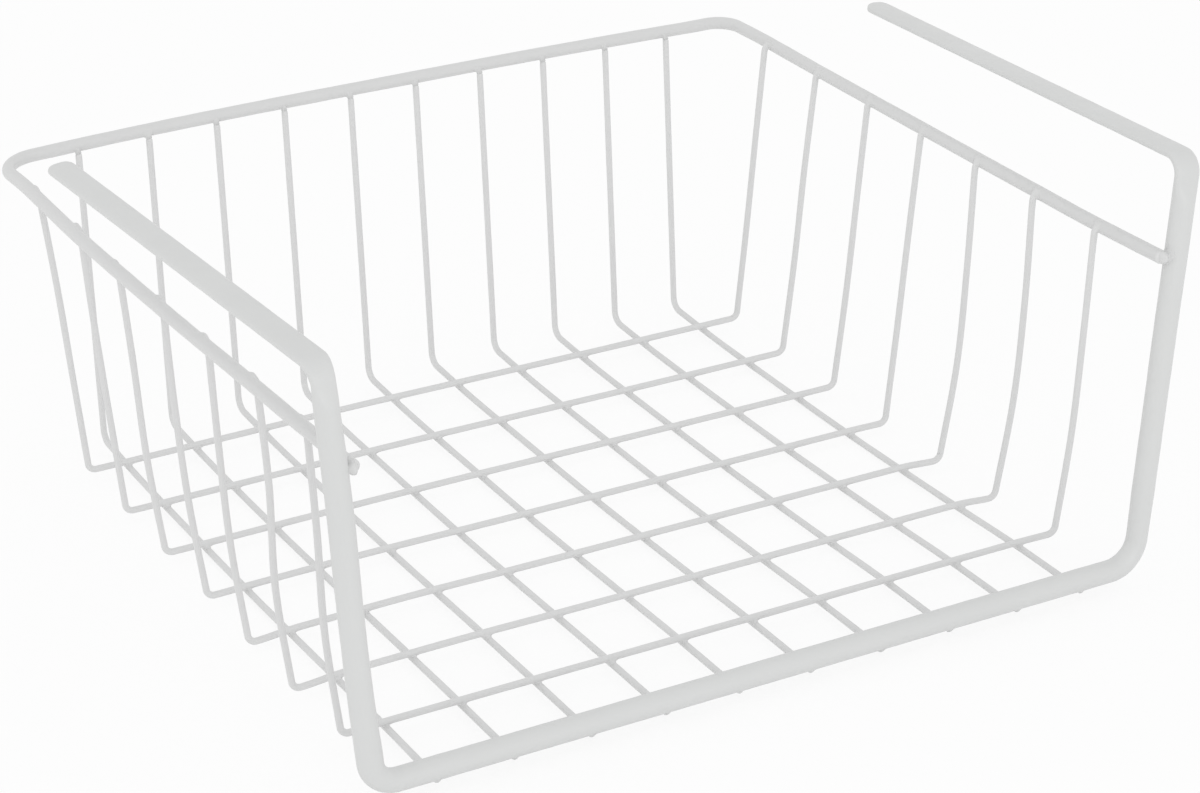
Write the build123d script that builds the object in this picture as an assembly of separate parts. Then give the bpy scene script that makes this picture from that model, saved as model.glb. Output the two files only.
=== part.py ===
from build123d import *
import math
import os

# Under shelf basket: an open-fronted basket of coated steel wire that hangs from a shelf by two arms.
# The arms slide over the shelf's top while the basket stays below it.
# +X runs to the right as seen from the front, +Y to the back and +Z up.
# The origin is on the resting plane, under the middle of the basket. Sizes are in millimetres.

# Stock, measured over the coating
wire_dia = 2.2                      # thin wires of the floor and walls
rim_dia = 4.4                       # rim wire
tube_dia = 7.3                      # tube of the hanger frame
tube_wall = 0.9                     # steel and coating of that tube
weld_sink = 0.15                    # how far two pieces sink into each other where they are welded

# Thin wires: a bent mat that makes the floor, the back wall and both side walls
floor_width = 258.0                 # between the bends of a crosswise wire
lengthwise_count = 10               # wires that run from the front to the back and up the back wall
lengthwise_inset = 14.7             # from those bends to the outermost lengthwise wire
lengthwise_overrun = 0.6            # from the front bar's centre line to the wires' front ends
lengthwise_drop = 0.8               # their top ends lie this far short of the rim's centre line
crosswise_count = 7                 # wires that run across the floor and up both side walls
crosswise_setback = 33.3            # from the front bar's centre line to the frontmost of them
crosswise_margin = 32.7             # from the backmost of them to the rim's back run
crosswise_rise = 0.8                # their ends stand this far past the rim's centre line
back_wall_lean = 11.1               # from the lengthwise wires' bend back to the rim's centre line
back_bend = 4.6                     # bend radii are those of the wire's centre line
side_bend = 2.8
bowed_count = 3                     # crosswise wires at the front whose walls bow outward the most
front_bow = 2.0                     # outward bow at half height of those wires
rear_bow = 0.5                      # outward bow at half height of the others
bow_bend = 350.0

# Rim wire: a U seen from above, lying outside the thin wires
rim_height = 108.5                  # centre line over the resting plane
rim_depth = 264.3                   # from the front bar's centre line to the rim's back run
rim_shoulder_out = 1.9              # its sides stand further out than its welds at the frontmost crosswise wire
rim_flare = 2.4                     # and further out again at the back corners
rim_corner_bend = 11.0
rim_shoulder_bend = 240.0
rim_overrun = 2.3                   # its ends run on past the uprights' centre lines

# Hanger frame: one tube, round in the front bar and the uprights, pressed flat in the arms
bar_overhang = 5.9                  # lower corners of the centre line outside the crosswise wires' bends
upright_spread = 11.4               # upper corners further out than the lower ones
slot_height = 32.9                  # upper corners over the rim's centre line
lean_back = 2.4                     # upper corners behind the front bar
bar_bend = 8.75
arm_bend = 6.0
arm_reach = 177.6                   # from an upper corner to the tip, along Y
arm_splay = 5.1                     # a tip stands this far further out than the upper corner
arm_droop = 4.75                    # and this far lower, so that the arms grip the shelf
arm_width = 8.7
arm_thickness = 3.0
flattening_length = 7.5             # the stretch in which round turns to flat
flat_lead = 0.8                     # flat stretch of the upright before the bend starts
tip_length = 6.0                    # the arm's last stretch, whose corners are rounded
tip_corner = 2.6

wire_radius = wire_dia / 2
rim_radius = rim_dia / 2
tube_radius = tube_dia / 2

# The box around the whole basket runs from the front of the bar to the back of the rim
bar_y = -(rim_depth + rim_radius - tube_radius) / 2
bar_z = wire_dia + tube_radius - weld_sink
lengthwise_z = wire_radius
crosswise_z = wire_radius + wire_dia - weld_sink
crosswise_front_y = bar_y + crosswise_setback
rim_back_y = bar_y + rim_depth
top_height = rim_height + slot_height


def bent_round(points, bends, dia):
    """A round bar along the points, with one bend radius for each inner point."""
    path = FilletPolyline(*points, radius=bends)
    section = Plane(origin=path @ 0, z_dir=path % 0) * Circle(dia / 2)
    return sweep(section, path=path)


def leaning_run(foot, bar, reach, past):
    """Top end of a straight run that starts at foot and lies against the inner side of a bar.

    Points are (outward, up). The run passes the bar's centre at the distance reach, and ends past
    the place where it touches the bar.
    """
    out, up = bar[0] - foot[0], bar[1] - foot[1]
    span = math.hypot(out, up)
    lean = math.atan2(out, up) - math.asin(reach / span)
    length = math.sqrt(span**2 - reach**2) + past
    return foot[0] + length * math.sin(lean), foot[1] + length * math.cos(lean)


def upright_line():
    """Lower and upper corner of the right upright's centre line."""
    lower_x = floor_width / 2 + bar_overhang
    return Vector(lower_x, bar_y, bar_z), Vector(lower_x + upright_spread, bar_y + lean_back, top_height)


def rim_weld():
    """Where the rim's centre line passes the right upright, on that upright's inner side."""
    lower, upper = upright_line()
    post = lower + (upper - lower) * ((rim_height - bar_z) / (top_height - bar_z))
    slope = (upper.X - lower.X) / (upper.Z - lower.Z)
    reach = (tube_radius + rim_radius - weld_sink) * math.hypot(1, slope)
    return Vector(post.X - reach, post.Y, rim_height)


def rim_side():
    """Shoulder and back corner of the rim's right side, which spreads toward the back."""
    shoulder = Vector(rim_weld().X + rim_shoulder_out, crosswise_front_y, rim_height)
    return shoulder, Vector(shoulder.X + rim_flare, rim_back_y, rim_height)


def rim_half_width(y):
    """Distance from the middle to the rim's side run."""
    shoulder, corner = rim_side()
    return shoulder.X + (corner.X - shoulder.X) * (y - shoulder.Y) / (corner.Y - shoulder.Y)


def lengthwise_wire(index):
    """A wire of the floor that turns up at the back and ends on the rim's back run."""
    span = floor_width - lengthwise_inset - lengthwise_inset
    x = (index / (lengthwise_count - 1) - 1 / 2) * span
    foot = (rim_back_y - back_wall_lean, lengthwise_z)
    reach = rim_radius + wire_radius - weld_sink
    top = leaning_run(foot, (rim_back_y, rim_height), reach, -lengthwise_drop)
    points = [(x, bar_y - lengthwise_overrun, lengthwise_z), (x, *foot), (x, *top)]
    return bent_round(points, [back_bend], wire_dia)


def crosswise_wire(index):
    """A wire across the floor, on top of the lengthwise ones, that turns up into both side walls."""
    backmost_y = rim_back_y - crosswise_margin
    y = backmost_y + (crosswise_front_y - backmost_y) * index / (crosswise_count - 1)
    bow = front_bow if index >= crosswise_count - bowed_count else rear_bow
    foot = (floor_width / 2, crosswise_z)
    rim = (rim_half_width(y), rim_height)
    reach = rim_radius + wire_radius - weld_sink
    straight_top = leaning_run(foot, rim, reach, 0)
    middle = ((foot[0] + straight_top[0]) / 2 + bow, (foot[1] + straight_top[1]) / 2)
    top = leaning_run(middle, rim, reach, crosswise_rise)
    right = [(foot[0], y, foot[1]), (middle[0], y, middle[1]), (top[0], y, top[1])]
    left = [(-x, y, z) for x, y, z in reversed(right)]
    return bent_round(left + right, [bow_bend, side_bend, side_bend, bow_bend], wire_dia)


def rim_wire():
    """The rim, whose two ends are welded to the inner sides of the uprights."""
    weld = rim_weld()
    shoulder, corner = rim_side()
    end = weld + (weld - shoulder).normalized() * rim_overrun
    right = [corner, shoulder, end]
    left = [Vector(-p.X, p.Y, p.Z) for p in reversed(right)]
    bends = [rim_shoulder_bend, rim_corner_bend, rim_corner_bend, rim_shoulder_bend]
    return bent_round(left + right, bends, rim_dia)


def arm_directions():
    """Unit vectors up the right upright, along its arm, and across the flat of the arm."""
    lower, upper = upright_line()
    up = (upper - lower).normalized()
    along = Vector(arm_splay, arm_reach, -arm_droop).normalized()
    return up, along, along.cross(up).normalized()


def round_end():
    """Where the right upright stops being round, and where it is fully flat."""
    up, along, across = arm_directions()
    upper = upright_line()[1]
    turn = math.radians(up.get_angle(along))
    flat_from = upper - up * (arm_bend * math.tan(turn / 2) + flat_lead)
    return flat_from - up * flattening_length, flat_from


def flat_arm():
    """The right arm from the end of the round tube to its tip."""
    up, along, across = arm_directions()
    round_to, flat_from = round_end()
    upper = upright_line()[1]
    tip = upper + Vector(arm_splay, arm_reach, -arm_droop)
    tip_from = tip - along * tip_length
    flat_plane = Plane(origin=flat_from, x_dir=across, z_dir=up)
    round_plane = Plane(origin=round_to, x_dir=across, z_dir=up)
    flat_section = SlotOverall(arm_width, arm_thickness)
    pressed = loft([round_plane * Circle(tube_radius), flat_plane * flat_section])
    bend = sweep(flat_plane * flat_section, path=FilletPolyline(flat_from, upper, tip_from, radius=arm_bend))
    return pressed + bend + arm_tip(tip_from, along, across)


def arm_tip(start, along, across):
    """The last stretch of an arm: the flat section with its two corners rounded as seen from above."""
    stretch = extrude(Plane(origin=start, x_dir=across, z_dir=along) * SlotOverall(arm_width, arm_thickness),
                      tip_length)
    outline = Pos(0, tip_length / 2) * Rectangle(arm_width, tip_length)
    outline = fillet(outline.vertices().group_by(Axis.Y)[-1], tip_corner)
    plan = Plane(origin=start, x_dir=across, z_dir=across.cross(along))
    return stretch & extrude(plan * outline, arm_thickness, both=True)


def hanger_frame():
    """Front bar, uprights and arms in one bent tube, sealed where its arms are pressed flat."""
    lower = upright_line()[0]
    round_to = round_end()[0]
    right = [lower, round_to]
    left = [Vector(-p.X, p.Y, p.Z) for p in reversed(right)]
    bends = [bar_bend, bar_bend]
    arm = flat_arm()
    outside = bent_round(left + right, bends, tube_dia) + arm + mirror(arm, about=Plane.YZ)
    return outside - bent_round(left + right, bends, tube_dia - tube_wall - tube_wall)


def save(shape, name):
    """Write one piece under its own name."""
    export_step(shape, f"parts/{name}.step")
    print(f"{name:22s} {shape.volume:10.1f} mm3")


os.makedirs("parts", exist_ok=True)
save(hanger_frame(), "hanger_frame")
save(rim_wire(), "rim_wire")
for number in range(lengthwise_count):
    save(lengthwise_wire(number), f"lengthwise_wire_{number + 1:02d}")
for number in range(crosswise_count):
    save(crosswise_wire(number), f"crosswise_wire_{number + 1}")
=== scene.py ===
import math

import bpy
import numpy as np
from mathutils import Matrix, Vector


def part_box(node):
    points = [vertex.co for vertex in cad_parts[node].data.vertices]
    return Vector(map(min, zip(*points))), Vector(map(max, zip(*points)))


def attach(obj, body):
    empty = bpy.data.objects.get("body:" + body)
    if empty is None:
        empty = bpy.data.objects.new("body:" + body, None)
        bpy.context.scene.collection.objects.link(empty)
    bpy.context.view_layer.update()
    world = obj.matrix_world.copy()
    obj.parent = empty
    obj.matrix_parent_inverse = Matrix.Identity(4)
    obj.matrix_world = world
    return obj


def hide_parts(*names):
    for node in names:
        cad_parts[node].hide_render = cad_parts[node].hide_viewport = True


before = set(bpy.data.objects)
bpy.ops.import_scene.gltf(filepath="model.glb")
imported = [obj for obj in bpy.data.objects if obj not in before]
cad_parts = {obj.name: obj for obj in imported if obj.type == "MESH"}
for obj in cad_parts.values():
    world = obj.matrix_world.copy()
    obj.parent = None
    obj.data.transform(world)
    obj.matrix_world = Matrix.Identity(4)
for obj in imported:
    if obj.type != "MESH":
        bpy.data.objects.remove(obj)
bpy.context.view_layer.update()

# Hanger frame
# One steel tube, bent cold into the front bar, the two uprights and the two arms. The arms are pressed flat
# so that they lie on a shelf, and a dipped plastic coat covers the whole tube and seals its ends.
TUBE_RADIUS = 0.00365
BAR_HEIGHT = 0.0057
RIGHT_LOWER_CORNER_X = 0.1347
RIGHT_UPPER_CORNER = (0.14705, -0.129025, 0.1416)
RIGHT_ARM_TIP = (0.15065, 0.0486, 0.1368)
LEFT_LOWER_CORNER_X = 0.1356
LEFT_UPPER_CORNER = (0.1458, -0.1301, 0.1397)
LEFT_ARM_TIP = (0.1509, 0.0472, 0.137)
RIGHT_BAR_BEND = 0.0105
LEFT_BAR_BEND = 0.0085
ARM_BEND = 0.006
ROUND_UP_TO = 0.1271
FLAT_FROM = 0.1346
ARM_HALF_WIDTH = 0.00435
RIGHT_ARM_HALF_THICKNESS = 0.00175
LEFT_ARM_HALF_THICKNESS = 0.0015
RIGHT_WIDENING = (-0.018, -0.0104)
LEFT_WIDENING = (-0.0094, 0)
ARM_SECTION_POWER = 2.9
TIP_CORNER = 0.0026
TIP_EDGE = 0.0009
TIP_FACE_SHARE = 0.35
TWIST_FROM = 0.03
UPRIGHT_HEIGHTS = (0.0057, 0.012, 0.03, 0.05, 0.07, 0.09, 0.11, 0.125)
RIGHT_OVAL_SHARES = (0, -0.09, -0.02, -0.02, -0.01, 0.01, 0.02, 0.03)
LEFT_OVAL_SHARES = (0, 0.08, 0.06, 0.04, 0.05, 0.07, 0.04, 0)
RIGHT_SWAYS = (0, 0, 0, 0, 0, 0, 0.0001, 0.0001)
LEFT_SWAYS = (0, -0.0001, 0.0003, 0.0004, 0.0002, -0.0002, -0.0002, 0)
ARC_STEPS = 16
END_RINGS = 9
END_FIRST_ANGLE = 0.12
RING_DECIMALS = 5
FRAME_SIDES = 40
FRAME_RING_STEP = 0.0009
FRAME_SWELL = 0.00002
FRAME_SEED = 11
SWELL_WAVES = 5
SHORTEST_SWELL = 0.007
LONGEST_SWELL = 0.06
FRAME_COLOUR = (0.695, 0.701, 0.697)
FRAME_CLOUD = (0.672, 0.68, 0.675)
FRAME_ROUGHNESS = 0.5
FRAME_GLOSS = 0.38
CLOUD_SCALE = 45
CLOUD_DETAIL = 3
GLOSS_SCALE = 140
GLOSS_FROM = 0.3
GLOSS_TO = 0.7
FINE_DETAIL = 2
RUNS_SCALE = 170
RUNS_STRENGTH = 0.35
RUNS_DEPTH = 0.00012
PEEL_SCALE = 750
PEEL_STRENGTH = 0.25
PEEL_DEPTH = 0.00005


def unit(vectors):
    """Each vector divided by its length."""
    return vectors / np.linalg.norm(vectors, axis=-1, keepdims=True)


def ease(value, start, end):
    """0 before start, 1 after end, and 3 t^2 - 2 t^3 between them, where t is the share of the way."""
    share = np.clip((value - start) / (end - start), 0, 1)
    return share * share * (3 - 2 * share)


def curve_through(place, stations, values):
    """Smooth curve that takes the values at the stations and stays level beyond the outermost ones.

    Between two stations it is (1 + 2t)(1 - t)^2 a + t^2 (3 - 2t) b + h t (1 - t) ((1 - t) m - t n), where t
    is the share of the way, h the gap, a and b the values, and m and n the slopes there.
    """
    stations, values = np.array(stations, float), np.array(values, float)
    slopes = np.gradient(values, stations)
    place = np.clip(place, stations[0], stations[-1])
    k = np.clip(np.searchsorted(stations, place) - 1, 0, len(stations) - 2)
    gap = stations[k + 1] - stations[k]
    t = (place - stations[k]) / gap
    level = (1 + 2 * t) * (1 - t) ** 2 * values[k] + t * t * (3 - 2 * t) * values[k + 1]
    return level + gap * t * (1 - t) * ((1 - t) * slopes[k] - t * slopes[k + 1])


def bent_line(corners, bends, arc_steps=ARC_STEPS):
    """Centre line of a bent bar: distances along it, points and directions.

    An arc of the bend radius touches the two runs that meet at an inner corner. It starts at
    radius * tan(turn / 2) before the corner, and its points are
    start + radius * (sin(angle) * old direction + (1 - cos(angle)) * inward normal).
    """
    corners = np.array(corners, float)
    ways = unit(np.diff(corners, axis=0))
    points, directions = [corners[:1]], [ways[:1]]
    for corner, before, after, bend in zip(corners[1:-1], ways[:-1], ways[1:], bends):
        turn = math.acos(before @ after)
        angle = np.linspace(0, turn, arc_steps + 1)[:, None]
        inward = unit(after - (after @ before) * before)
        start = corner - before * bend * math.tan(turn / 2)
        points.append(start + bend * (np.sin(angle) * before + (1 - np.cos(angle)) * inward))
        directions.append(np.cos(angle) * before + np.sin(angle) * inward)
    points = np.concatenate([*points, corners[-1:]])
    directions = np.concatenate([*directions, ways[-1:]])
    steps = np.linalg.norm(np.diff(points, axis=0), axis=1)
    return np.concatenate([[0], np.cumsum(steps)]), points, directions


def rings_along(line, step, end_reach, both_ends=True):
    """Distances, centres and directions of the rings of a bar.

    Rings stand a step apart, at each point of the arcs, and at end_reach * (1 - cos(angle)) from an end,
    which is where a rounded end needs them. Centres and directions are interpolated along the line.
    """
    distance, points, directions = line
    length = distance[-1]
    near_end = end_reach * (1 - np.cos(np.linspace(END_FIRST_ANGLE, math.pi / 2, END_RINGS)))
    start = near_end if both_ends else [0.0]
    even = np.linspace(0, length, round(length / step) + 1)[1:-1]
    places = np.concatenate([start, even, distance[1:-1], length - near_end])
    places = np.unique(np.round(places, RING_DECIMALS))
    centre = np.stack([np.interp(places, distance, column) for column in points.T], 1)
    way = unit(np.stack([np.interp(places, distance, column) for column in directions.T], 1))
    return places, length, centre, way


def coat_swell(places, seed, amount):
    """How much thicker the dipped coat is at each place.

    It is amount / sqrt(number of waves) times the sum of sin(2 pi place / wave length + phase).
    """
    random = np.random.default_rng(seed)
    wave = random.uniform(SHORTEST_SWELL, LONGEST_SWELL, (SWELL_WAVES, 1))
    phase = random.uniform(0, 2 * math.pi, (SWELL_WAVES, 1))
    return amount * np.sin(2 * math.pi * places / wave + phase).sum(0) / math.sqrt(SWELL_WAVES)


def bar_rings(centre, across, up, half_width, half_height, power, sides):
    """Rings of an oval bar: centre + across * width * cos(angle) + up * height * sin(angle).

    The cosine and sine are raised to 2 / power with their signs kept, so 2 gives an ellipse and more gives
    a flatter side.
    """
    angle = np.linspace(0, 2 * math.pi, sides, endpoint=False)
    bulge = 2 / np.broadcast_to(power, len(centre))[:, None]
    cosine = np.sign(np.cos(angle)) * np.abs(np.cos(angle)) ** bulge
    sine = np.sign(np.sin(angle)) * np.abs(np.sin(angle)) ** bulge
    sideways = (half_width[:, None] * cosine)[:, :, None] * across[:, None, :]
    upward = (half_height[:, None] * sine)[:, :, None] * up[:, None, :]
    return centre[:, None, :] + sideways + upward


def closed_skin(rings, ends):
    """Vertices, quads and triangles of a closed bar.

    Each four neighbours make a quad, and fans of triangles join the outermost rings to the end points.
    """
    count, sides = rings.shape[:2]
    vertices = np.concatenate([rings.reshape(-1, 3), ends])
    ring = (np.arange(count - 1) * sides)[:, None]
    here = np.arange(sides)[None, :]
    beyond = (here + 1) % sides
    quads = np.stack([ring + here, ring + beyond, ring + sides + beyond, ring + sides + here], 2)
    here, beyond = here[0], beyond[0]
    last = (count - 1) * sides
    first_pole = np.full(sides, count * sides)
    first_fan = np.stack([first_pole, beyond, here], 1)
    last_fan = np.stack([first_pole + 1, last + here, last + beyond], 1)
    return vertices, quads.reshape(-1, 4), np.concatenate([first_fan, last_fan])


def piece(name, skin, material):
    """A smooth mesh object of a skin's vertices, quads and triangles, fixed to the basket's one body."""
    vertices, quads, triangles = skin
    mesh = bpy.data.meshes.new(name)
    mesh.from_pydata(vertices, [], quads.tolist() + triangles.tolist())
    mesh.shade_smooth()
    mesh.materials.append(material)
    made = bpy.data.objects.new(name, mesh)
    bpy.context.scene.collection.objects.link(made)
    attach(made, "root")
    return made


def dipped_coat(name, colour, cloud_colour, roughness, smoother):
    """Dipped plastic coat: clouds in the colour, gloss in patches, slow runs and a fine orange peel.

    Each is noise on the object's own coordinates, with lumps of about 1 / scale metres. The runs and the peel
    are bumps of a tenth and a twentieth of a millimetre. On the mix node, sockets 6 and 7 are its two colours
    and output 2 is the mixed colour.
    """
    material = bpy.data.materials.new(name)
    material.use_nodes = True
    nodes, links = material.node_tree.nodes, material.node_tree.links
    shader = nodes["Principled BSDF"]
    place = nodes.new("ShaderNodeTexCoord")

    def noise(scale, detail):
        made = nodes.new("ShaderNodeTexNoise")
        made.inputs["Scale"].default_value = scale
        made.inputs["Detail"].default_value = detail
        links.new(place.outputs["Object"], made.inputs["Vector"])
        return made.outputs["Fac"]

    clouds = nodes.new("ShaderNodeMix")
    clouds.data_type = "RGBA"
    clouds.inputs[6].default_value = (*colour, 1)
    clouds.inputs[7].default_value = (*cloud_colour, 1)
    links.new(noise(CLOUD_SCALE, CLOUD_DETAIL), clouds.inputs[0])
    links.new(clouds.outputs[2], shader.inputs["Base Color"])
    gloss = nodes.new("ShaderNodeMapRange")
    gloss.inputs["From Min"].default_value = GLOSS_FROM
    gloss.inputs["From Max"].default_value = GLOSS_TO
    gloss.inputs["To Min"].default_value = smoother
    gloss.inputs["To Max"].default_value = roughness
    links.new(noise(GLOSS_SCALE, FINE_DETAIL), gloss.inputs["Value"])
    links.new(gloss.outputs["Result"], shader.inputs["Roughness"])
    runs = nodes.new("ShaderNodeBump")
    runs.inputs["Strength"].default_value = RUNS_STRENGTH
    runs.inputs["Distance"].default_value = RUNS_DEPTH
    links.new(noise(RUNS_SCALE, FINE_DETAIL), runs.inputs["Height"])
    peel = nodes.new("ShaderNodeBump")
    peel.inputs["Strength"].default_value = PEEL_STRENGTH
    peel.inputs["Distance"].default_value = PEEL_DEPTH
    links.new(noise(PEEL_SCALE, FINE_DETAIL), peel.inputs["Height"])
    links.new(runs.outputs["Normal"], peel.inputs["Normal"])
    links.new(peel.outputs["Normal"], shader.inputs["Normal"])
    return material


def frame_half(corners, bar_bend, oval_shares, sways, arm_half, widening):
    """Rings of the tube from the middle of the front bar to the tip of one arm, and the middle of that tip.

    The round tube is slightly oval, and the upright sways outward and inward, by amounts set at a few
    heights. The section goes from a circle to a flat oval where the tube is pressed, and widens over a
    stretch that is given as distances from the highest point. At q from the tip, with c = 1 - q / rounding,
    the half width loses corner * (1 - sqrt(1 - c^2)). The thickness shrinks likewise, to a share of itself.
    """
    upright_way, arm_way = unit(np.diff(corners[1:], axis=0))
    arm_across = unit(np.cross(arm_way, upright_way))
    bar_backward = unit(np.cross(upright_way, (1, 0, 0)))
    line = bent_line(corners, [bar_bend, ARM_BEND])
    places, length, centre, way = rings_along(line, FRAME_RING_STEP, TIP_EDGE, both_ends=False)
    height = centre[:, 2]
    pressed = ease(height, ROUND_UP_TO, FLAT_FROM)
    pressed[height.argmax():] = 1
    widened = ease(places - places[height.argmax()], *widening)
    twist = ease(height, TWIST_FROM, ROUND_UP_TO)[:, None]
    across = unit(twist * arm_across + (1 - twist) * np.cross(bar_backward, way))
    up = np.cross(way, across)
    centre[:, 0] += curve_through(height, UPRIGHT_HEIGHTS, sways)
    oval = TUBE_RADIUS * curve_through(height, UPRIGHT_HEIGHTS, oval_shares) * (1 - pressed)
    swell = coat_swell(places, FRAME_SEED, FRAME_SWELL)
    corner_share = np.clip(1 - (length - places) / TIP_CORNER, 0, 1)
    narrowing = TIP_CORNER * (1 - np.sqrt(1 - corner_share**2))
    edge_share = np.clip(1 - (length - places) / TIP_EDGE, 0, 1)
    thinning = TIP_FACE_SHARE + (1 - TIP_FACE_SHARE) * np.sqrt(1 - edge_share**2)
    half_width = TUBE_RADIUS + (ARM_HALF_WIDTH - TUBE_RADIUS) * widened + swell - narrowing + oval
    half_height = (TUBE_RADIUS + (arm_half - TUBE_RADIUS) * pressed + swell) * thinning
    power = 2 + (ARM_SECTION_POWER - 2) * pressed
    return bar_rings(centre, across, up, half_width, half_height, power, FRAME_SIDES), centre[-1]


frame_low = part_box("hanger_frame")[0]
bar_y = frame_low.y + TUBE_RADIUS
bar_middle = (0, bar_y, BAR_HEIGHT)
right_lower_corner = (RIGHT_LOWER_CORNER_X, bar_y, BAR_HEIGHT)
left_lower_corner = (LEFT_LOWER_CORNER_X, bar_y, BAR_HEIGHT)
right_corners = np.array([bar_middle, right_lower_corner, RIGHT_UPPER_CORNER, RIGHT_ARM_TIP])
left_corners = np.array([bar_middle, left_lower_corner, LEFT_UPPER_CORNER, LEFT_ARM_TIP])
mirror = np.array((-1, 1, 1))
right_rings, right_tip = frame_half(right_corners, RIGHT_BAR_BEND, RIGHT_OVAL_SHARES, RIGHT_SWAYS,
                                    RIGHT_ARM_HALF_THICKNESS, RIGHT_WIDENING)
left_rings, left_tip = frame_half(left_corners, LEFT_BAR_BEND, LEFT_OVAL_SHARES, LEFT_SWAYS,
                                  LEFT_ARM_HALF_THICKNESS, LEFT_WIDENING)
frame_rings = np.concatenate([left_rings[:0:-1] * mirror, right_rings])
frame_skin = closed_skin(frame_rings, [left_tip * mirror, right_tip])
frame_coat = dipped_coat("white_dipped_coat_on_tube", FRAME_COLOUR, FRAME_CLOUD, FRAME_ROUGHNESS, FRAME_GLOSS)
frame_piece = piece("coated_hanger_frame", frame_skin, frame_coat)
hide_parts("hanger_frame")

# Rim wire
# A thicker steel wire, bent by hand into a U that makes the basket's top edge at the back and the sides. Its
# two cut ends are welded to the inner sides of the uprights, and the right one sits a little higher.
RIM_RADIUS = 0.0022
RIGHT_RIM_BEND = 0.0086
LEFT_RIM_BEND = 0.014
RIM_SHOULDER_BEND = 0.24
RIGHT_SHOULDER_X = 0.1397
LEFT_SHOULDER_X = 0.1394
RIGHT_CORNER = (0.1424, 0)
LEFT_CORNER = (0.1415, -0.0006)
RIGHT_OVERRUN = 0.0008
LEFT_OVERRUN = 0.0006
SHOULDER_SETBACK = 0.0333
WELD_SINK = 0.00015
SIDE_STATIONS = (-0.13, -0.113, -0.098, -0.06, -0.02, 0.02, 0.06, 0.105)
LEFT_LIFTS = (-0.001, -0.0007, -0.0005, -0.001, -0.0018, -0.0022, -0.0021, -0.0004)
RIGHT_LIFTS = (0.0025, 0.0016, 0.0009, 0.0005, 0.0002, 0, -0.0002, -0.0001)
BACK_STATIONS = (-0.128, -0.1, -0.06, 0, 0.06, 0.1, 0.128)
BACK_LIFTS = (-0.0009, -0.0001, 0.0005, 0.0006, 0.0004, -0.0001, -0.0006)
LINE_STEP = 0.003
LINE_DECIMALS = 6
RIM_ARC_STEPS = 32
RIM_SIDES = 28
RIM_RING_STEP = 0.0009
RIM_SWELL = 0.00002
RIM_SEED = 23
RIM_END_ROUNDING = 0.0007
RIM_COLOUR = (0.705, 0.708, 0.706)
RIM_CLOUD = (0.68, 0.683, 0.681)
RIM_ROUGHNESS = 0.5
RIM_GLOSS = 0.38


def moved_line(line, move):
    """The line with points a step apart, each moved by move(points), and its directions worked out again."""
    distance, points, directions = line
    steps = np.linspace(0, distance[-1], round(distance[-1] / LINE_STEP) + 1)
    places = np.unique(np.round(np.concatenate([distance, steps]), LINE_DECIMALS))
    points = np.stack([np.interp(places, distance, column) for column in points.T], 1)
    points = points + move(points)
    spans = np.linalg.norm(np.diff(points, axis=0), axis=1)
    distance = np.concatenate([[0], np.cumsum(spans)])
    return distance, points, unit(np.gradient(points, distance, axis=0))


def round_wire(name, line, side, radius, end_rounding, step, sides, swell, seed, material, node):
    """A coated round wire along the line, with its cut ends rounded over by the coat.

    The rings stand on the side direction and on its cross product with the line's direction. At q from an
    end, the radius is scaled by sqrt(1 - (1 - q / rounding)^2).
    """
    places, length, centre, way = rings_along(line, step, end_rounding)
    across = unit(np.array(side) - way * (way @ np.array(side))[:, None])
    up = np.cross(way, across)
    from_end = np.clip(np.minimum(places, length - places) / end_rounding, 0, 1)
    thickness = (radius + coat_swell(places, seed, swell)) * np.sqrt(1 - (1 - from_end) ** 2)
    rings = bar_rings(centre, across, up, thickness, thickness, 2, sides)
    made = piece(name, closed_skin(rings, line[1][[0, -1]]), material)
    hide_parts(node)


def rim_half(corners, shoulder_x, corner, overrun):
    """Back corner, shoulder and end of half the rim, with x counted outward.

    The corners are the upright's, and the rim's own back corner is given as its distances outward and behind
    the rim's back run. The upright's line passes the rim's height at lower + run * share of the rise, and the
    weld lies inward of that place by both radii less the sink, over the cosine of the upright's lean.
    """
    lower, upper = corners[1], corners[2]
    upright_run = upper - lower
    post = lower + upright_run * (rim_height - lower[2]) / upright_run[2]
    reach = (TUBE_RADIUS + RIM_RADIUS - WELD_SINK) * math.hypot(1, upright_run[0] / upright_run[2])
    weld = post - np.array((reach, 0, 0))
    shoulder = np.array((shoulder_x, bar_y + SHOULDER_SETBACK, rim_height))
    end = weld + unit(weld - shoulder) * overrun
    return [np.array((corner[0], rim_back_y + corner[1], rim_height)), shoulder, end]


def rim_lift(points):
    """How far the hand-bent rim stands off its level at each point, as moves straight up.

    The lift follows y on each side and x on the back run, and passes smoothly from one to the other at the
    back corners.
    """
    x, y = points[:, 0], points[:, 1]
    left = curve_through(y, SIDE_STATIONS, LEFT_LIFTS)
    right = curve_through(y, SIDE_STATIONS, RIGHT_LIFTS)
    sides = np.where(x < 0, left, right)
    back = curve_through(x, BACK_STATIONS, BACK_LIFTS)
    on_back = ease(y, SIDE_STATIONS[-1], rim_back_y)
    return np.stack([0 * x, 0 * x, sides + (back - sides) * on_back], 1)


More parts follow.
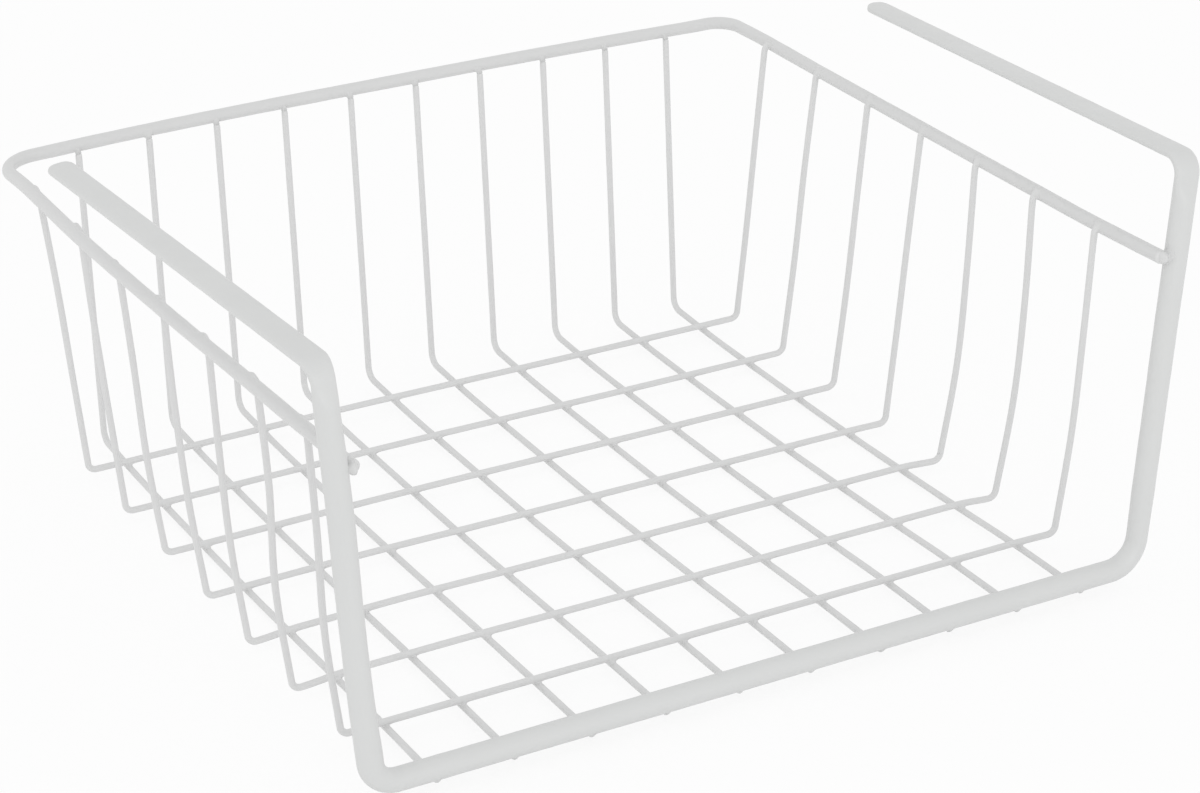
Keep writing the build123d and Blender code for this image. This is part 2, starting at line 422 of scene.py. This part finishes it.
rim_low, rim_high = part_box("rim_wire")
rim_height = (rim_low.z + rim_high.z) / 2
rim_back_y = rim_high.y - RIM_RADIUS
right_side = rim_half(right_corners, RIGHT_SHOULDER_X, RIGHT_CORNER, RIGHT_OVERRUN)
left_side = rim_half(left_corners, LEFT_SHOULDER_X, LEFT_CORNER, LEFT_OVERRUN)
left_side = [point * mirror for point in reversed(left_side)]
rim_bends = [RIM_SHOULDER_BEND, LEFT_RIM_BEND, RIGHT_RIM_BEND, RIM_SHOULDER_BEND]
rim_line = moved_line(bent_line(left_side + right_side, rim_bends, RIM_ARC_STEPS), rim_lift)
rim_coat = dipped_coat("white_dipped_coat_on_rim", RIM_COLOUR, RIM_CLOUD, RIM_ROUGHNESS, RIM_GLOSS)
round_wire("coated_rim_wire", rim_line, (0, 0, 1), RIM_RADIUS, RIM_END_ROUNDING, RIM_RING_STEP, RIM_SIDES,
           RIM_SWELL, RIM_SEED, rim_coat, "rim_wire")

# Lengthwise wires
# Ten thin steel wires that start under the front bar, run back along the floor and turn up the back wall.
# They are welded to the bar and to the inner side of the rim. The floor sags a little between bar and back.
WIRE_RADIUS = 0.0011
WIRE_SIDES = 18
WIRE_RING_STEP = 0.0009
WIRE_SWELL = 0.000015
WIRE_END_ROUNDING = 0.0009
LENGTHWISE_SETBACK = 0.0003
LENGTHWISE_DROP = 0.002
TOP_SINK = 0.0007
BACK_WALL_LEAN = 0.0111
BACK_BEND = 0.0046
FRONT_SHIFTS = (-0.0008, -0.0007, -0.0004, -0.0002, 0, 0, 0.0002, 0.0003, 0.0007, 0)
TOP_SHIFTS = (0.0008, 0.0009, 0.0004, 0.0004, 0.0003, 0.0002, 0.0002, 0.0003, 0.0005, 0.0005)
FLOOR_STATIONS = (-0.132, -0.098, -0.055, 0, 0.055, 0.095, 0.118)
FLOOR_LIFTS = (0.0006, 0.0008, 0.0002, -0.0004, -0.0001, 0.0007, 0.0019)
ACROSS_STATIONS = (-0.115, -0.07, -0.03, 0.01, 0.06, 0.115)
MIDDLE_ACROSS_LIFTS = (0, 0.0005, 0.0001, -0.0001, -0.0003, -0.0004)
REAR_ACROSS_LIFTS = (0, 0.0003, 0.0005, 0.0003, -0.0001, -0.0002)
ACROSS_FROM = -0.1
ACROSS_FULL = -0.05
REAR_FROM = -0.01
REAR_FULL = 0.05
RUN_SLACK = 0.001
LENGTHWISE_SEED = 100
WIRE_COLOUR = (0.725, 0.727, 0.726)
WIRE_CLOUD = (0.7, 0.702, 0.701)
WIRE_ROUGHNESS = 0.5
WIRE_GLOSS = 0.4


def leaning_run(foot, bar, reach, past):
    """Top end, as (outward, up), of a straight run from foot that leans against the inner side of a bar.

    The run passes the bar's centre at the distance reach, and goes on past the place nearest to it:
    its lean is atan2(out, up) - asin(reach / span), and its length sqrt(span^2 - reach^2) + past.
    """
    out, rise = bar[0] - foot[0], bar[1] - foot[1]
    span = math.hypot(out, rise)
    lean = math.atan2(out, rise) - math.asin(reach / span)
    length = math.sqrt(span**2 - reach**2) + past
    return foot[0] + length * math.sin(lean), foot[1] + length * math.cos(lean)


def floor_lift(points):
    """How far the sagging floor stands off its level at each point, as moves straight up.

    It is a curve over y plus a curve over x, which is one in the middle of the floor and another at the rear,
    times 1 - z / rim height, so that it fades out up the walls.
    """
    x, y, z = points.T
    lift = curve_through(y, FLOOR_STATIONS, FLOOR_LIFTS)
    middle = curve_through(x, ACROSS_STATIONS, MIDDLE_ACROSS_LIFTS)
    rear = curve_through(x, ACROSS_STATIONS, REAR_ACROSS_LIFTS)
    across = middle + (rear - middle) * ease(y, REAR_FROM, REAR_FULL)
    lift = lift + across * ease(y, ACROSS_FROM, ACROSS_FULL)
    return np.stack([0 * x, 0 * x, lift * (1 - z / rim_height)], 1)


def line_at(line, run, axis, place):
    """Point and direction of a line where its coordinate on the axis has that value.

    Both are interpolated between the points of the run, which are numbered in their order along the axis.
    """
    points, ways = line[1][run], line[2][run]
    point = np.array([np.interp(place, points[:, axis], column) for column in points.T])
    return point, unit(np.array([np.interp(place, points[:, axis], column) for column in ways.T]))


def rim_at(axis, place, side):
    """Point and direction of the rim on the given side where its coordinate on the axis has that value."""
    points = rim_line[1]
    runs = {"left": points[:, 0] < RUN_SLACK - LEFT_SHOULDER_X,
            "right": points[:, 0] > RIGHT_SHOULDER_X - RUN_SLACK,
            "back": points[:, 1] > rim_back_y - RUN_SLACK}
    run = np.flatnonzero(runs[side])
    return line_at(rim_line, run[np.argsort(points[run, axis])], axis, place)


wire_coat = dipped_coat("white_dipped_coat_on_wire", WIRE_COLOUR, WIRE_CLOUD, WIRE_ROUGHNESS, WIRE_GLOSS)
top_reach = RIM_RADIUS + WIRE_RADIUS - TOP_SINK
back_foot = (rim_back_y - BACK_WALL_LEAN, WIRE_RADIUS)
lengthwise_lines = []
for number, (front_shift, top_shift) in enumerate(zip(FRONT_SHIFTS, TOP_SHIFTS), 1):
    node = f"lengthwise_wire_{number:02d}"
    node_low, node_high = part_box(node)
    x = (node_low.x + node_high.x) / 2
    top_bar = rim_at(0, x + top_shift, "back")[0]
    back_top = leaning_run(back_foot, top_bar[1:], top_reach, -LENGTHWISE_DROP)
    front = (x + front_shift, bar_y + LENGTHWISE_SETBACK, WIRE_RADIUS)
    corners = [front, (x, *back_foot), (x + top_shift, *back_top)]
    line = moved_line(bent_line(corners, [BACK_BEND]), floor_lift)
    lengthwise_lines.append(line)
    round_wire(f"coated_{node}", line, (1, 0, 0), WIRE_RADIUS, WIRE_END_ROUNDING, WIRE_RING_STEP, WIRE_SIDES,
               WIRE_SWELL, LENGTHWISE_SEED + number, wire_coat, node)

# Crosswise wires
# Seven thin steel wires, numbered from the back, that run down from the left rim, across the floor and up to
# the right rim. They are welded to the rim and on top of the lengthwise wires, and their legs bow outward.
SIDE_BEND = 0.0028
LEFT_FEET = (0.1286, 0.1288, 0.1288, 0.1287, 0.1293, 0.1298, 0.1295)
RIGHT_FEET = (0.1285, 0.1278, 0.1284, 0.1284, 0.1285, 0.128, 0.1282)
BOW_HEIGHTS = (0.003, 0.038, 0.073, 0.106)
LEFT_LOW_BOWS = (0, 0.0003, 0.0013, 0.0015, 0.0017, 0.0017, 0.0016)
LEFT_HIGH_BOWS = (-0.0001, 0.0003, 0.0008, 0.0013, 0.0012, -0.0002, 0.0004)
LEFT_TOP_BOWS = (0.0005, -0.0002, 0.0007, 0.0002, 0.0002, -0.0002, -0.0001)
RIGHT_LOW_BOWS = (0, 0.0005, 0.0008, 0.0004, 0.0026, 0.0027, 0.0017)
RIGHT_HIGH_BOWS = (-0.0004, 0.0001, 0.0007, 0.0004, 0.0018, 0.002, 0.0011)
RIGHT_TOP_BOWS = (-0.0007, 0.0003, 0.0006, 0.0006, 0.0001, -0.0002, 0)
FEET_DROPS = (0, 0, 0, 0.0003, 0.001, 0.0011, 0.0003)
OUTERMOST_X = 0.112
FEET_X = 0.1285
KNEE_BEND = 0.0035
KNEE_DROP = 0.0015
END_INSET = 0.00146
LEFT_END_RISES = (0.0011, 0.0011, 0.0011, 0.0011, 0.0011, 0.0008, 0.0004)
RIGHT_END_RISE = 0.0011
CROSSWISE_HEIGHT = 3 * WIRE_RADIUS - WELD_SINK
CROSSWISE_SEED = 200


def wall_leg(foot_out, y, side, end_rise):
    """Foot, knee and end of a straight wall leg, with x counted outward from the middle of the basket.

    The leg leans against the rim. From the knee, just under the rim, its last bit curls up onto the rim.
    """
    rim_point = rim_at(1, y, side)[0]
    bar = (abs(rim_point[0]), rim_point[2])
    foot = (foot_out, CROSSWISE_HEIGHT)
    knee = leaning_run(foot, bar, top_reach, -KNEE_DROP)
    end = (bar[0] - END_INSET, bar[1] + end_rise)
    return [np.array((out, y, up)) for out, up in (foot, knee, end)]


def wall_bow(points, left_bows, right_bows):
    """How far the wall legs bow at each point, as moves outward on a curve set at the bow heights."""
    x, y, z = points.T
    left = -curve_through(z, BOW_HEIGHTS, left_bows)
    right = curve_through(z, BOW_HEIGHTS, right_bows)
    return np.stack([np.where(x < 0, left, right), 0 * y, 0 * z], 1)


def feet_drop(points, drop):
    """How far the floor run bends down outside the outermost lengthwise wires, as moves straight up.

    It is the drop eased in from those wires to the feet, times 1 - z / rim height.
    """
    lower = -drop * ease(np.abs(points[:, 0]), OUTERMOST_X, FEET_X) * (1 - points[:, 2] / rim_height)
    return np.stack([0 * lower, 0 * lower, lower], 1)


crosswise_lines = []
foot_bows = [0.0] * len(LEFT_FEET)
left_bows = zip(foot_bows, LEFT_LOW_BOWS, LEFT_HIGH_BOWS, LEFT_TOP_BOWS)
right_bows = zip(foot_bows, RIGHT_LOW_BOWS, RIGHT_HIGH_BOWS, RIGHT_TOP_BOWS)
legs = zip(LEFT_FEET, RIGHT_FEET, left_bows, right_bows, LEFT_END_RISES, FEET_DROPS)
for number, (left_foot, right_foot, left_bow, right_bow, left_rise, drop) in enumerate(legs, 1):
    node = f"crosswise_wire_{number}"
    node_low, node_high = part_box(node)
    y = (node_low.y + node_high.y) / 2
    left = [point * mirror for point in reversed(wall_leg(left_foot, y, "left", left_rise))]
    right = wall_leg(right_foot, y, "right", RIGHT_END_RISE)
    line = bent_line(left + right, [KNEE_BEND, SIDE_BEND, SIDE_BEND, KNEE_BEND])
    line = moved_line(line, lambda points: wall_bow(points, left_bow, right_bow))
    line = moved_line(line, floor_lift)
    line = moved_line(line, lambda points: feet_drop(points, drop))
    crosswise_lines.append(line)
    round_wire(f"coated_{node}", line, (0, 1, 0), WIRE_RADIUS, WIRE_END_ROUNDING, WIRE_RING_STEP, WIRE_SIDES,
               WIRE_SWELL, CROSSWISE_SEED + number, wire_coat, node)

# Coated welds
# Where two bars are welded, the dipped coat fills the corner between them with a small web. There is one at
# each crossing of the floor, under the front bar, along the rim and where the rim meets the uprights.
WEB_RINGS = 14
WEB_SIDES = 22
WEB_SUNK = 0.00003
WEB_HALVINGS = 16
WEB_SEED = 7
STUB = 0.012
CURLED_STUB = 0.0018
FLOOR_RUN_BELOW = 0.006
FLOOR_WEB_REACH = 0.0024
FLOOR_WEB_SOFTNESS = (0.0007, 0.0015)
BAR_WEB_REACH = 0.003
BAR_WEB_SOFTNESS = (0.001, 0.0018)
RIM_WEB_REACH = 0.0026
RIM_WEB_SOFTNESS = (0.0008, 0.0016)
UPRIGHT_WEB_REACH = 0.0034
UPRIGHT_WEB_SOFTNESS = (0.0014, 0.0005)


def bar_distance(points, start, end, radius):
    """Distance from each point to a round bar: that to the line from start to end, less the radius."""
    run = end - start
    along = np.sum((points - start) * run, axis=-1, keepdims=True)
    share = np.clip(along / np.sum(run * run, axis=-1, keepdims=True), 0, 1)
    return np.linalg.norm(points - start - share * run, axis=-1) - radius


def weld_webs(name, contacts, first, second, softness, reach, material):
    """One closed web at each contact between two bars, each given as (start, end, radius).

    A web's surface is where the smooth least of the two distances, min(a, b) - h^2 k / 4 with
    h = max(k - |a - b|, 0) / k, is zero. Along each of a grid of directions from the contact it is found
    by halving, and it ends at the reach, inside the bars.
    """
    turn = np.linspace(0, 2 * math.pi, WEB_SIDES, endpoint=False)[None, :]
    tilt = np.linspace(0, math.pi, WEB_RINGS + 2)[1:-1, None]
    grid = np.stack([np.sin(tilt) * np.cos(turn), np.sin(tilt) * np.sin(turn), np.cos(tilt) + 0 * turn], 2)
    rays = np.concatenate([grid.reshape(-1, 3), [(0, 0, 1), (0, 0, -1)]])
    contacts = np.array(contacts)[:, None, :]
    first = [np.array(part)[:, None] for part in zip(*first)]
    second = [np.array(part)[:, None] for part in zip(*second)]
    softness = np.array(softness)[:, None]
    near = np.zeros((len(contacts), len(rays)))
    far = np.full_like(near, reach)
    for halving in range(WEB_HALVINGS):
        middle = (near + far) / 2
        points = contacts + middle[:, :, None] * rays
        a = bar_distance(points, *first)
        b = bar_distance(points, *second)
        overlap = np.maximum(softness - np.abs(a - b), 0) / softness
        inside = np.minimum(a, b) - overlap**2 * softness / 4 + WEB_SUNK < 0
        near = np.where(inside, middle, near)
        far = np.where(inside, far, middle)
    points = contacts + near[:, :, None] * rays
    vertices, quads, triangles = [], [], []
    for web in points:
        rings = web[:-2].reshape(WEB_RINGS, WEB_SIDES, 3)[::-1]
        web_vertices, web_quads, web_triangles = closed_skin(rings, web[[-1, -2]])
        before = len(vertices) * len(web_vertices)
        vertices.append(web_vertices)
        quads.append(web_quads + before)
        triangles.append(web_triangles + before)
    piece(name, [np.concatenate(part) for part in (vertices, quads, triangles)], material)


def bar_contact(first_point, first_way, second_point, second_way, first_radius, second_radius):
    """Where the skins of two bars meet: it divides the line between their nearest points as their radii do.

    With w = p - q and b = u . v, the nearest points are p + s u and q + t v, where s is
    (b (v . w) - u . w) / (1 - b^2) and t is (v . w - b (u . w)) / (1 - b^2).
    """
    apart = first_point - second_point
    likeness = first_way @ second_way
    along_first, along_second = first_way @ apart, second_way @ apart
    left_over = 1 - likeness**2
    first_near = first_point + first_way * (likeness * along_second - along_first) / left_over
    second_near = second_point + second_way * (along_second - likeness * along_first) / left_over
    return first_near + (second_near - first_near) * first_radius / (first_radius + second_radius)


def floor_run_at(line, axis, place):
    """Point and direction of a thin wire's floor run where its coordinate on the axis has that value."""
    run = np.flatnonzero((line[1][:, 2] < FLOOR_RUN_BELOW) & (line[1][:, 1] < back_foot[0]))
    return line_at(line, run, axis, place)


random = np.random.default_rng(WEB_SEED)
along_x = np.array((1.0, 0, 0))
contacts, first, second = [], [], []
for lengthwise in lengthwise_lines:
    for crosswise in crosswise_lines:
        front_x = lengthwise[1][0, 0]
        upper = floor_run_at(crosswise, 0, front_x)[0]
        lower, lower_way = floor_run_at(lengthwise, 1, upper[1])
        upper, upper_way = floor_run_at(crosswise, 0, lower[0])
        contacts.append((lower + upper) / 2)
        first.append((lower - lower_way * STUB, lower + lower_way * STUB, WIRE_RADIUS))
        second.append((upper - upper_way * STUB, upper + upper_way * STUB, WIRE_RADIUS))
softness = random.uniform(*FLOOR_WEB_SOFTNESS, len(contacts))
weld_webs("floor_weld_webs", contacts, first, second, softness, FLOOR_WEB_REACH, wire_coat)

contacts, first, second = [], [], []
for lengthwise in lengthwise_lines:
    front, front_way = lengthwise[1][0], lengthwise[2][0]
    bar = np.array((front[0], bar_y, BAR_HEIGHT))
    contacts.append((front[0], bar_y, front[2] + WIRE_RADIUS / 2))
    first.append((front, front + front_way * STUB, WIRE_RADIUS))
    second.append((bar - along_x * STUB, bar + along_x * STUB, TUBE_RADIUS))
softness = random.uniform(*BAR_WEB_SOFTNESS, len(contacts))
weld_webs("front_bar_weld_webs", contacts, first, second, softness, BAR_WEB_REACH, frame_coat)

contacts, first, second = [], [], []
rim_meetings = [(line[1][-1], line[2][-1], "back", 0, STUB) for line in lengthwise_lines]
rim_meetings += [(line[1][-1], line[2][-1], "right", 1, CURLED_STUB) for line in crosswise_lines]
rim_meetings += [(line[1][0], -line[2][0], "left", 1, CURLED_STUB) for line in crosswise_lines]
for top, top_way, side, axis, stub in rim_meetings:
    rim_point, rim_way = rim_at(axis, top[axis], side)
    contacts.append(bar_contact(top, top_way, rim_point, rim_way, WIRE_RADIUS, RIM_RADIUS))
    first.append((top - top_way * stub, top, WIRE_RADIUS))
    second.append((rim_point - rim_way * STUB, rim_point + rim_way * STUB, RIM_RADIUS))
softness = random.uniform(*RIM_WEB_SOFTNESS, len(contacts))
weld_webs("rim_weld_webs", contacts, first, second, softness, RIM_WEB_REACH, rim_coat)

contacts, first, second = [], [], []
rim_ends = ((rim_line[1][-1], rim_line[2][-1], right_corners),
            (rim_line[1][0], -rim_line[2][0], left_corners * mirror))
for end, end_way, corners in rim_ends:
    upright_way = unit(corners[2] - corners[1])
    post = corners[1] + upright_way * (end[2] - corners[1][2]) / upright_way[2]
    contacts.append(bar_contact(end, end_way, post, upright_way, RIM_RADIUS, TUBE_RADIUS))
    first.append((end - end_way * STUB, end, RIM_RADIUS))
    second.append((post - upright_way * STUB, post + upright_way * STUB, TUBE_RADIUS))
weld_webs("upright_weld_webs", contacts, first, second, UPRIGHT_WEB_SOFTNESS, UPRIGHT_WEB_REACH, rim_coat)

# Studio
# A white floor that keeps a faint shadow of the basket, white light from all around, and two large soft
# lamps, one in front and one on the left, both low enough to reach the undersides.
FLOOR_HALF = 4.0
FLOOR_DROP = 0.0009
FLOOR_WHITE = 0.97
FLOOR_GLOW_SHARE = 0.85
SHOWN_STRENGTH = 1.0
WORLD_STRENGTH = 0.88
FRONT_PLACE = (-0.38, -2.42, 0.5)
FRONT_SIZE = 1.4
FRONT_POWER = 8.3
SIDE_PLACE = (-2.25, 0.9, 0.35)
SIDE_SIZE = 1.4
SIDE_POWER = 4.8

floor_corners = [(-FLOOR_HALF, -FLOOR_HALF, -FLOOR_DROP), (FLOOR_HALF, -FLOOR_HALF, -FLOOR_DROP),
                 (FLOOR_HALF, FLOOR_HALF, -FLOOR_DROP), (-FLOOR_HALF, FLOOR_HALF, -FLOOR_DROP)]
floor_mesh = bpy.data.meshes.new("floor")
floor_mesh.from_pydata(floor_corners, [], [(0, 1, 2, 3)])
floor = bpy.data.objects.new("floor", floor_mesh)
bpy.context.scene.collection.objects.link(floor)


def seen_directly(nodes, links):
    """1 for rays that show the background as such: from the camera, a mirror reflection or through glass."""
    path = nodes.new("ShaderNodeLightPath")
    total = path.outputs["Is Camera Ray"]
    for name in ("Is Glossy Ray", "Is Transmission Ray"):
        add = nodes.new("ShaderNodeMath")
        add.operation = "ADD"
        add.use_clamp = True
        links.new(total, add.inputs[0])
        links.new(path.outputs[name], add.inputs[1])
        total = add.outputs[0]
    return total


floor_white = bpy.data.materials.new("white_floor")
floor_white.use_nodes = True
nodes, links = floor_white.node_tree.nodes, floor_white.node_tree.links
nodes.clear()
output = nodes.new("ShaderNodeOutputMaterial")
paint = nodes.new("ShaderNodeBsdfDiffuse")
paint.inputs["Color"].default_value = (FLOOR_WHITE, FLOOR_WHITE, FLOOR_WHITE, 1)
glow = nodes.new("ShaderNodeEmission")
glow.inputs["Strength"].default_value = SHOWN_STRENGTH
share = nodes.new("ShaderNodeMath")
share.operation = "MULTIPLY"
share.inputs[1].default_value = FLOOR_GLOW_SHARE
links.new(seen_directly(nodes, links), share.inputs[0])
mix = nodes.new("ShaderNodeMixShader")
links.new(share.outputs[0], mix.inputs["Fac"])
links.new(paint.outputs[0], mix.inputs[1])
links.new(glow.outputs[0], mix.inputs[2])
links.new(mix.outputs[0], output.inputs["Surface"])
floor_mesh.materials.append(floor_white)

world = bpy.data.worlds.new("white_room")
bpy.context.scene.world = world
world.use_nodes = True
nodes, links = world.node_tree.nodes, world.node_tree.links
nodes.clear()
output = nodes.new("ShaderNodeOutputWorld")
light = nodes.new("ShaderNodeBackground")
light.inputs["Strength"].default_value = WORLD_STRENGTH
shown = nodes.new("ShaderNodeBackground")
shown.inputs["Strength"].default_value = SHOWN_STRENGTH
for background in (light, shown):
    background.inputs["Color"].default_value = (1, 1, 1, 1)
mix = nodes.new("ShaderNodeMixShader")
links.new(seen_directly(nodes, links), mix.inputs["Fac"])
links.new(light.outputs[0], mix.inputs[1])
links.new(shown.outputs[0], mix.inputs[2])
links.new(mix.outputs[0], output.inputs["Surface"])


def stand(thing, place, right, back):
    """Puts a lamp or the camera at the place, with these directions to its right and behind it."""
    turned = Matrix((right, np.cross(back, right), back)).transposed().to_4x4()
    thing.matrix_world = Matrix.Translation(place) @ turned


def soft_lamp(name, place, size, power):
    """A square lamp at the place, turned to the origin."""
    lamp_data = bpy.data.lights.new(name, "AREA")
    lamp_data.shape = "SQUARE"
    lamp_data.size = size
    lamp_data.energy = power
    lamp = bpy.data.objects.new(name, lamp_data)
    bpy.context.scene.collection.objects.link(lamp)
    back = unit(np.array(place))
    stand(lamp, place, unit(np.cross((0, 0, 1), back)), back)


soft_lamp("front_soft_lamp", FRONT_PLACE, FRONT_SIZE, FRONT_POWER)
soft_lamp("left_soft_lamp", SIDE_PLACE, SIDE_SIZE, SIDE_POWER)

# Camera
# It stands in front, to the left and above, and looks down on the basket through a long lens, as in the
# photograph. It is tilted to one side by a tenth of a degree.
CAMERA_PLACE = (-0.49505, -0.89868, 0.52837)
CAMERA_RIGHT = (0.869879, -0.493262, -0.001925)
CAMERA_BACK = (-0.445113, -0.786636, 0.427876)
CAMERA_LENS = 103.94
CAMERA_SENSOR = 36
CAMERA_NEAR = 0.05
CAMERA_FAR = 50

camera_data = bpy.data.cameras.new("camera")
camera_data.sensor_width = CAMERA_SENSOR
camera_data.lens = CAMERA_LENS
camera_data.clip_start = CAMERA_NEAR
camera_data.clip_end = CAMERA_FAR
camera = bpy.data.objects.new("camera", camera_data)
bpy.context.scene.collection.objects.link(camera)
stand(camera, CAMERA_PLACE, CAMERA_RIGHT, CAMERA_BACK)
bpy.context.scene.camera = camera
bpy.context.scene.view_settings.view_transform = "Standard"

bpy.context.view_layer.update()
